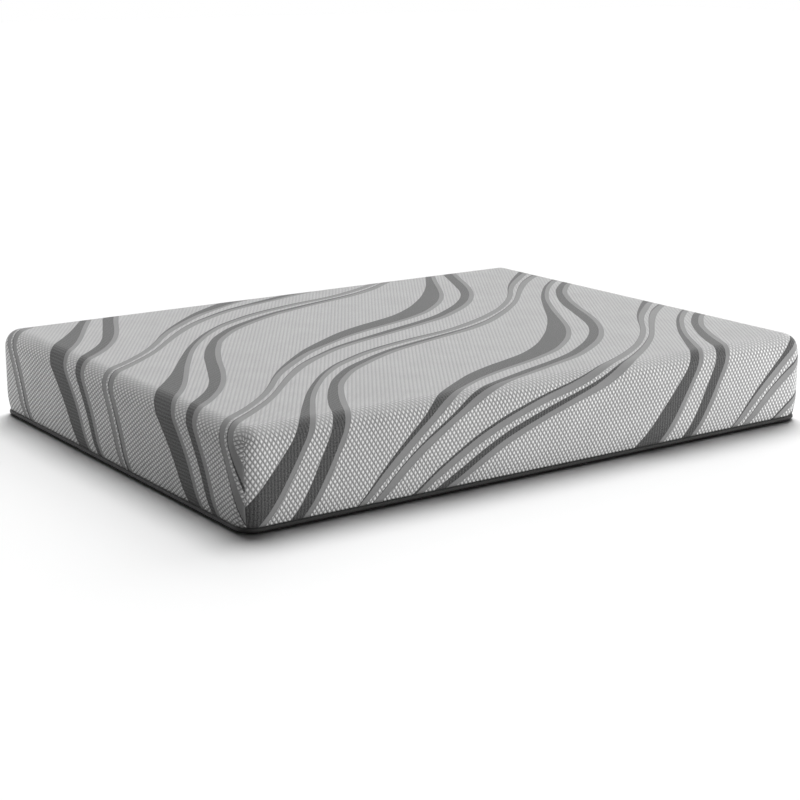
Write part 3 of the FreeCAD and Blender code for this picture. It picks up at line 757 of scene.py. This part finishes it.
def make_piping():
    flange_start = math.asin(FLANGE_LOW / PIPING_RADIUS)
    section = round_section(PIPING_RADIUS, np.linspace(math.pi - flange_start, 2 * math.pi + RIGHT_ANGLE, 22))
    section += [(-FLANGE_REACH * 0.5, FLANGE_HIGH), (-FLANGE_REACH, FLANGE_HIGH), (-FLANGE_REACH, FLANGE_LOW)]
    points, tangents = piping_path(12 * MM)
    mesh_points, faces = sweep(points, tangents, section)
    row = np.repeat(np.arange(len(points)), len(section))
    mesh_points[:, 2] += PIPING_RIPPLE * np.sin(row * 1.7) * np.sin(row * 0.23)
    piping = new_mesh("piping_wrap", mesh_points, faces)
    dress(piping, "piping_fabric", PIPING_CLOTH)
    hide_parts("piping_tape")


def make_piping_cord():
    section = round_section(FILLER_RADIUS, np.linspace(0, 2 * math.pi, 15)[:-1])
    points, tangents = piping_path(16 * MM)
    mesh_points, faces = sweep(points, tangents, section)
    cord = new_mesh("piping_filler", mesh_points, faces)
    dress(cord, "filler_cord", FILLER)
    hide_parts("piping_cord")


# ---------------- corner seams

SEAM_BOTTOM = 32 * MM
SEAM_TOP = 214 * MM
SEAM_ROWS = 46
ALLOWANCE = 8 * MM
PLY = 1.05 * MM
PLY_GAP = 0.06 * MM  # half the gap between the two edges
PLY_FLUTTER = 0.1 * MM
STITCH = 3.2 * MM
THREAD_BITE = ALLOWANCE * 0.45  # how deep the overlock's needle line lies
THREAD_BESIDE = 1.15 * MM
THREAD_EDGE = ALLOWANCE + 0.15 * MM
THREAD_RADIUS = 0.22 * MM


def make_corner_seam(name, x_sign, y_sign):
    """The sewn allowance of a corner: two knit edges side by side, overlocked along the inner edge."""
    heights = np.linspace(SEAM_BOTTOM, SEAM_TOP, SEAM_ROWS)
    outward = np.array([x_sign, y_sign]) * math.sqrt(0.5)
    sideways = np.array([-outward[1], outward[0]])
    centre = np.array([x_sign * (HALF_LENGTH - CORNER_RADIUS), y_sign * (HALF_WIDTH - CORNER_RADIUS)])

    def spot(height, depth, aside):
        """A point of the allowance, depth in from the cover's inner face."""
        lift = (SEAM_RIDGE - SEAM_GROOVE) * seam_blend(height)
        reach = CORNER_RADIUS - tuck(height) + lift - KNIT_THICKNESS - FIT_GAP - depth
        return (*(centre + outward * reach + sideways * aside), height)

    points, faces = [], []
    for ply_side in (-1, 1):
        start = len(points)
        for row, z in enumerate(heights):
            flutter = PLY_FLUTTER * math.sin(row * 0.9 + ply_side)
            ring = [(0, PLY_GAP), (ALLOWANCE * 0.5, PLY_GAP), (ALLOWANCE, PLY_GAP + flutter / 2),
                    (ALLOWANCE, PLY), (ALLOWANCE * 0.5, PLY), (0, PLY)]
            points += [spot(z, depth, ply_side * aside) for depth, aside in ring]
        faces += strip_faces(len(heights), len(ring), start, turned_over=ply_side > 0)
    allowance_piece = new_mesh(f"{name}_allowance", points, faces, smooth=False)
    dress(allowance_piece, "jacquard_knit", BACKING)

    route = []
    for i in range(int((SEAM_TOP - SEAM_BOTTOM - 2 * STITCH) / STITCH)):
        z = SEAM_BOTTOM + STITCH * (i + 1)
        route += [spot(z, THREAD_BITE, THREAD_BESIDE),
                  spot(z + STITCH * 0.35, THREAD_EDGE, 0.3 * MM),
                  spot(z + STITCH * 0.5, THREAD_BITE, -THREAD_BESIDE),
                  spot(z + STITCH * 0.85, THREAD_EDGE, 0.0)]
    thread_points, thread_faces = tube(route, THREAD_RADIUS, 5)
    thread = new_mesh(f"{name}_thread", thread_points, thread_faces)
    dress(thread, "seam_thread", THREAD)
    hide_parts(name)


def make_corner_seams():
    for name, x_sign, y_sign in (("corner_seam_foot_right", -1, -1), ("corner_seam_head_right", 1, -1),
                                 ("corner_seam_head_left", 1, 1), ("corner_seam_foot_left", -1, 1)):
        make_corner_seam(name, x_sign, y_sign)


# ---------------- layers inside

LAYER_STEP = 24 * MM
SIDE_STEP = 12 * MM
FOAM_INSET = SOCK_INSET + SOCK_THICKNESS + FIT_GAP
FOAM_CORNER = SOCK_CORNER - SOCK_THICKNESS - FIT_GAP
SLOPE_SHARES = (0.25, 0.5, 0.75, 0.97)  # rows of the slanted bottom edge, down to just above the bottom
SOCK_BEND = 26 * MM  # height that sets how far the fire barrier's bottom is drawn in
CUT_EDGE = 1.2 * MM  # how much a sawn foam edge is rounded over
CUT_CORNER = CUT_EDGE * 0.3


def height_span(node):
    """A node's lowest and highest height."""
    low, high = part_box(node)
    return low.z, high.z


def foam_side(corner, high, low):
    """The side of an inner layer between two heights, which draws in as the border does."""
    count = max(2, round((high - low) / SIDE_STEP) + 1)
    return [(corner - tuck(z), z) for z in np.linspace(high, low, count)]


def rounded_top(corner, top, radius):
    """The top edge of an inner layer."""
    turns = np.linspace(0, RIGHT_ANGLE, 9)
    return [(corner - radius + radius * math.sin(t), top - radius + radius * math.cos(t)) for t in turns]


def pulled_in_bottom(corner, bottom, tuck_height):
    """The slanted bottom edge of the foam, ending on the bottom's own plane."""
    start = corner - tuck(bottom + FOAM_SLOPE_RISE)
    slope = [(start - FOAM_SLOPE_RUN * t, bottom + FOAM_SLOPE_RISE * (1 - t)) for t in SLOPE_SHARES]
    return slope + [(corner - FOAM_SLOPE_RUN - tuck(tuck_height), bottom)]


def make_layer(name, node, slot, material, inset, corner, edges, thickness=None):
    """An inner layer. edges is its side, as (distance out, height) from the top down."""
    outline = Outline(inset, corner, LAYER_STEP, 8)
    profile = np.array([(0, edges[0][1])] + edges + [(0, edges[-1][1])])
    points, faces, _ = layer_mesh(outline, profile, closed=True)
    layer = new_mesh(name, points, faces)
    dress(layer, slot, material)
    if thickness:
        solidify(layer, thickness)
    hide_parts(node)
    return layer


def make_foam(name, node, slot, material, edges):
    """A foam layer inside the fire barrier."""
    layer = make_layer(name, node, slot, material, FOAM_INSET, FOAM_CORNER, edges)


def make_fire_barrier():
    low, high = height_span("fire_sock")
    bend = TOP_EDGE_RADIUS - SOCK_INSET
    edges = rounded_top(SOCK_CORNER, high, bend)
    edges += foam_side(SOCK_CORNER, high - bend, low + FOAM_SLOPE_RISE)[1:]
    edges += pulled_in_bottom(SOCK_CORNER, low, SOCK_BEND)
    make_layer("fire_barrier", "fire_sock", "barrier_knit", BARRIER, SOCK_INSET, SOCK_CORNER, edges,
               SOCK_THICKNESS)


def make_comfort_foam():
    low, high = height_span("comfort_foam")
    edges = rounded_top(FOAM_CORNER, high, TOP_EDGE_RADIUS - FOAM_INSET)
    edges += foam_side(FOAM_CORNER, high - TOP_EDGE_RADIUS + FOAM_INSET, low + CUT_EDGE)[1:]
    edges += [(FOAM_CORNER - CUT_EDGE, low)]
    make_foam("gel_memory_foam", "comfort_foam", "gel_foam", GEL_FOAM, edges)


def make_transition_foam():
    low, high = height_span("transition_foam")
    edges = [(FOAM_CORNER - CUT_EDGE, high), (FOAM_CORNER - CUT_CORNER, high - CUT_CORNER)]
    edges += foam_side(FOAM_CORNER, high - CUT_EDGE, low + CUT_EDGE)
    edges += [(FOAM_CORNER - CUT_CORNER, low + CUT_CORNER), (FOAM_CORNER - CUT_EDGE, low)]
    make_foam("transition_layer", "transition_foam", "transition_foam", TRANSITION_FOAM, edges)


def make_support_core():
    low, high = height_span("support_core")
    edges = [(FOAM_CORNER - CUT_EDGE, high)]
    edges += foam_side(FOAM_CORNER, high - CUT_EDGE, low + FOAM_SLOPE_RISE)
    edges += pulled_in_bottom(FOAM_CORNER, low, low + FOAM_SLOPE_RISE)
    make_foam("support_foam", "support_core", "core_foam", CORE_FOAM, edges)


# ---------------- base panel

BASE_INSET = 15.3 * MM
BASE_RIM = 14.3 * MM
BASE_SLOPE_RUN = 35 * MM
BASE_SLOPE_RISE = 12 * MM
BASE_THICKNESS = 1.4 * MM
SLOPE = math.atan2(BASE_SLOPE_RISE, BASE_SLOPE_RUN)
ZIPPER_SETBACK = 12 * MM  # zipper middle, down the slope from its upper edge
ZIPPER_MARGIN = 100 * MM  # zipper ends, in from the ends of their sides
ZIPPER_SLOT = 10.8 * MM  # half the slot
SLOT_FOOT = 29 * MM  # a row of points down the slope, below the slot


def make_base_panel():
    """A dish of non-slip fabric, with a slot in its slanted edge for the zipper."""
    corner = CORNER_RADIUS - BASE_INSET
    outline = Outline(BASE_INSET, corner, LAYER_STEP, 6)
    for side, axis, end in ((1, 1, -HALF_WIDTH), (2, 0, -HALF_LENGTH)):
        on_side = np.flatnonzero((outline.side == side) & (outline.turned == 0))
        edge = end + ZIPPER_MARGIN - FIT_GAP
        nearest = on_side[np.argmin(np.abs(outline.base[on_side, axis] - edge))]
        outline.base[nearest, axis] = edge

    def down_slope(distance):
        return (corner - distance * math.cos(SLOPE), BASE_SLOPE_RISE - distance * math.sin(SLOPE))

    slope_length = BASE_SLOPE_RUN / math.cos(SLOPE)
    profile = np.array([(0, 0), (corner - BASE_SLOPE_RUN - 4 * MM, 0), down_slope(slope_length),
                        down_slope(SLOT_FOOT), down_slope(ZIPPER_SETBACK + ZIPPER_SLOT),
                        down_slope(ZIPPER_SETBACK - ZIPPER_SLOT), down_slope(0), (corner, BASE_RIM)])
    slot_level = 4  # the slot lies between this row of the profile and the next
    points, faces, keys = layer_mesh(outline, profile)
    kept = []
    for face, key in zip(faces, keys):
        if key is not None and key[1][0][0] == slot_level:
            x, y = np.mean([points[v][:2] for v in face], axis=0)
            side = outline.side[key[0]]
            on_end = side == 1 and y > -HALF_WIDTH + ZIPPER_MARGIN - FIT_GAP
            on_long_side = side == 2 and x > -HALF_LENGTH + ZIPPER_MARGIN - FIT_GAP
            if on_end or on_long_side:
                continue
        kept.append(face[::-1])
    panel = new_mesh("base_fabric_panel", points, kept, smooth=False)
    dress(panel, "base_fabric", BASE_CLOTH)
    solidify(panel, BASE_THICKNESS)
    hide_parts("base_panel")


# ---------------- zipper

TAPE_EDGE = 10.5 * MM
COIL_GAP = 0.6 * MM
COIL_WIDTH = 2.4 * MM
COIL_THICKNESS = 2 * MM
COIL_PITCH = 1.8 * MM
COIL_STEPS = 7  # points in a turn
COIL_WIRE = 0.27 * MM  # radius of the nylon
STOP_LENGTH = 3 * MM


def zipper_line(margin, spacing):
    """The coils' middle line: along the head end, round the corner and along the left side.

    Returns points, and at each point the direction along it and the direction across the slanted edge,
    outwards and up.
    """
    inset = BASE_INSET + ZIPPER_SETBACK * math.cos(SLOPE) + BASE_THICKNESS / 2 * math.sin(SLOPE)
    height = BASE_SLOPE_RISE - ZIPPER_SETBACK * math.sin(SLOPE) + BASE_THICKNESS / 2 * math.cos(SLOPE)
    radius = CORNER_RADIUS - inset
    x, y = HALF_LENGTH - inset, HALF_WIDTH - inset
    start, finish = -HALF_WIDTH + margin, -HALF_LENGTH + margin
    first = (y - radius) - start
    turn = radius * RIGHT_ANGLE
    last = (x - radius) - finish
    count = round((first + turn + last) / spacing)
    points, along, across = [], [], []
    for s in np.linspace(0, first + turn + last, count + 1):
        angle = np.clip((s - first) / radius, 0, RIGHT_ANGLE)
        out = np.array([math.cos(angle), math.sin(angle), 0])
        ahead = np.array([-math.sin(angle), math.cos(angle), 0])
        centre = np.array([x - radius, y - radius, height])
        straight = min(s - first, 0) + max(s - first - turn, 0)
        points.append(centre + out * radius + ahead * straight)
        along.append(ahead)
        across.append(out * math.cos(SLOPE) + np.array([0, 0, math.sin(SLOPE)]))
    return np.array(points), np.array(along), np.array(across)


def make_zipper_tape(name, node, sign):
    """A woven tape, with a thicker rib where the coil is sewn on."""
    points, along, across = zipper_line(ZIPPER_MARGIN, 12 * MM)
    inner, half = COIL_GAP + COIL_WIDTH, 0.3 * MM
    section = [(inner, -half), (inner + 1.4 * MM, -half), (TAPE_EDGE, -half), (TAPE_EDGE, half),
               (inner + 2.2 * MM, half), (inner + 1.4 * MM, half * 1.15), (inner, half * 1.15)]
    rings = []
    for centre, ahead, side in zip(points, along, across):
        face = np.cross(side, ahead)
        rings.append([centre + side * sign * a + face * h for a, h in section])
    faces = strip_faces(len(rings), len(section), 0, turned_over=sign > 0)
    tape = new_mesh(name, np.concatenate(rings), faces, smooth=False)
    dress(tape, "zipper_tape", ZIPPER_CLOTH)
    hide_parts(node)


def tube(route, radius, sides):
    """Points and faces of a round thread along a list of points, with closed ends."""
    route = np.asarray(route, float)
    ahead = np.gradient(route, axis=0)
    ahead /= np.linalg.norm(ahead, axis=1)[:, None]
    guide = np.array([0.31, 0.17, 0.93])  # a direction that no thread here runs along
    side = np.cross(ahead, guide)
    side /= np.linalg.norm(side, axis=1)[:, None]
    lift = np.cross(side, ahead)
    angles = np.arange(sides) * 2 * math.pi / sides
    ring = np.cos(angles)[None, :, None] * side[:, None] + np.sin(angles)[None, :, None] * lift[:, None]
    points = (route[:, None] + radius * ring).reshape(-1, 3)
    return points, ring_faces(len(route), sides)


def make_zipper_coil(name, node, sign):
    """A nylon coil wound along the edge of its tape."""
    margin = ZIPPER_MARGIN + STOP_LENGTH + FIT_GAP
    points, along, across = zipper_line(margin, COIL_PITCH / COIL_STEPS)
    middle = COIL_GAP + COIL_WIDTH / 2
    wide, thick = COIL_WIDTH / 2 - COIL_WIRE, COIL_THICKNESS / 2 - COIL_WIRE
    face = np.cross(across, along)
    angle = np.arange(len(points)) * 2 * math.pi / COIL_STEPS
    reach = (middle + wide * np.cos(angle))[:, None]
    route = points + across * sign * reach + face * (thick * np.sin(angle))[:, None]
    coil_points, faces = tube(route, COIL_WIRE, 4)
    coil = new_mesh(name, coil_points, faces)
    dress(coil, "zipper_coil", COIL_NYLON)
    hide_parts(node)


def make_zipper():
    for side, sign in (("outer", 1), ("inner", -1)):
        make_zipper_tape(f"zipper_{side}_tape", f"zipper_tape_{side}", sign)
        make_zipper_coil(f"zipper_{side}_coil", f"zipper_coil_{side}", sign)
    for node in ("zipper_slider", "zipper_pull", "zipper_top_stop", "zipper_bottom_stop"):
        metal_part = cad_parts[node]
        metal_part.data.materials.clear()
        metal_part.data.materials.append(METAL)


make_cover()
make_corner_seams()
make_piping()
make_piping_cord()
make_fire_barrier()
make_comfort_foam()
make_transition_foam()
make_support_core()
make_base_panel()
make_zipper()


# ---------------- floor, light and camera

WORLD_FILL = 0.04  # strength of the pale surroundings as light, where the camera sees them at 1
CAMERA_LENS = 79.02
CAMERA_PLACE = (-3.1075, -4.4165, 1.4343)
CAMERA_HEADING = 54.858  # degrees from +X
CAMERA_DIP = 14.359
CAMERA_ROLL = 0.07


def make_floor():
    size = 30.0
    drop = 0.4 * MM
    points = [(-size, -size, -drop), (size, -size, -drop), (size, size, -drop), (-size, size, -drop)]
    mesh = bpy.data.meshes.new("floor")
    mesh.from_pydata(points, [], [(0, 1, 2, 3)])
    floor = add_object("floor", mesh)
    s = Shader("floor")
    mesh.materials.append(s.finish(Base_Color=grey(0.94), Roughness=0.95, Specular_IOR_Level=0.05))
    return floor


def add_light(name, kind, place, towards, energy, floor_too=False, **shape):
    """A lamp at a place, looking towards a point. The camera never sees it."""
    light = bpy.data.lights.new(name, kind)
    light.energy = energy
    for key, value in shape.items():
        setattr(light, key, value)
    lamp = add_object(name, light)
    lamp.location = place
    lamp.rotation_euler = (Vector(towards) - Vector(place)).to_track_quat("-Z", "Y").to_euler()
    lamp.visible_camera = False
    if not floor_too:
        lamp.light_linking.receiver_collection = bpy.data.collections["unlit_by_fills"]


def make_light(floor):
    """Soft light from above, and low fills on each side that are kept off the floor."""
    spared = bpy.data.collections.new("unlit_by_fills")
    spared.objects.link(floor)
    spared.collection_objects[0].light_linking.link_state = "EXCLUDE"
    add_light("overhead", "SUN", (0.75, 1.1, 3.0), (0, 0, 0), energy=2.6, floor_too=True,
              angle=math.radians(36))
    add_light("overhead_wide", "SUN", (1.6, 1.2, 1.3), (0, 0, 0), energy=1.7, floor_too=True,
              angle=math.radians(50))
    add_light("front_fill", "SUN", (1.0, -3.0, 0.6), (0, 0, 0.2), energy=2.0, angle=math.radians(24))
    add_light("front_right", "AREA", (3.0, -3.2, 0.9), (0.8, -0.7, 0.2), energy=140, shape="RECTANGLE",
              size=1.6, size_y=1.2)
    add_light("foot_left", "AREA", (-2.6, 1.9, 0.7), (-1.0, 0.6, 0.2), energy=34, shape="RECTANGLE",
              size=1.2, size_y=1.0)
    add_light("back_fill", "SUN", (0.6, 3.0, 0.7), (0, 0, 0.2), energy=0.5, angle=math.radians(40))
    add_light("head_fill", "SUN", (3.0, 0.3, 0.7), (0, 0, 0.2), energy=0.5, angle=math.radians(40))
    world = bpy.data.worlds.new("studio")
    bpy.context.scene.world = world
    world.use_nodes = True
    s = Shader("studio", world.node_tree)
    path = s.node("ShaderNodeLightPath")
    seen = s.math("MAXIMUM", path.outputs["Is Camera Ray"], path.outputs["Is Glossy Ray"])
    sky = world.node_tree.nodes["Background"]
    s.put(sky.inputs["Strength"], s.ramp(seen, 0.0, 1.0, WORLD_FILL, 1.0))
    sky.inputs["Color"].default_value = grey(1.0)
    bpy.context.scene.view_settings.view_transform = "Standard"


def make_camera():
    camera = bpy.data.cameras.new("camera")
    camera.sensor_width = 36
    camera.lens = CAMERA_LENS
    camera.clip_end = 100
    seat = add_object("camera", camera)
    place = Matrix.Translation(CAMERA_PLACE)
    heading = Matrix.Rotation(math.radians(CAMERA_HEADING - 90), 4, "Z")
    pitch = Matrix.Rotation(math.radians(90 - CAMERA_DIP), 4, "X")
    roll = Matrix.Rotation(math.radians(CAMERA_ROLL), 4, "Z")
    seat.matrix_world = place @ heading @ pitch @ roll
    bpy.context.scene.camera = seat


make_light(make_floor())
make_camera()
